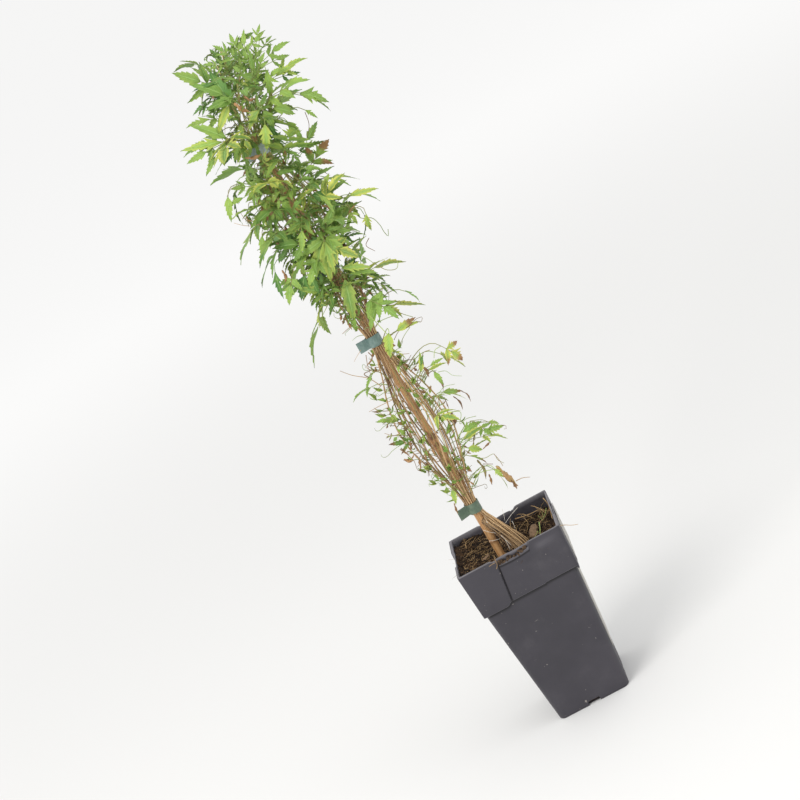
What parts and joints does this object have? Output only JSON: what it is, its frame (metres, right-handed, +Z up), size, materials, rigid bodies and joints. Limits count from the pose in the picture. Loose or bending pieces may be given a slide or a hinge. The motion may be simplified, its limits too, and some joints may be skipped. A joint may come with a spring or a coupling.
{
  "type": "potted climbing plant on a cane",
  "caption": "Climbing plant with toothed compound leaves on thin stems, tied to a bamboo cane and growing in a tall square nursery pot.",
  "frame": {"origin": "centre of the pot's base, on the surface that the pot stands on", "axes": "+Z up along the cane; -Y is the pot's front, which the picture faces; +X is the side with the bare label"},
  "size_m": [0.186, 0.1787, 0.9297],
  "materials": {
    "pot_plastic": "matte",
    "bare_label": "satin",
    "potting_mix": "matte",
    "bamboo": "satin",
    "tie_tape": "satin",
    "foliage": "satin"
  },
  "bodies": {
    "root": {"pot": "pot_plastic", "label": "bare_label", "soil": "potting_mix", "cane": "bamboo", "tie_1": "tie_tape", "tie_2": "tie_tape", "tie_3": "tie_tape", "tie_4": "tie_tape", "stem_01": "foliage", "stem_02": "foliage", "stem_03": "foliage", "stem_04": "foliage", "stem_05": "foliage", "stem_06": "foliage", "stem_07": "foliage", "stem_08": "foliage", "stem_09": "foliage", "stem_10": "foliage", "stem_11": "foliage", "stem_12": "foliage", "stem_13": "foliage", "stem_14": "foliage", "stem_15": "foliage", "stem_16": "foliage"}
  },
  "joints": []
}
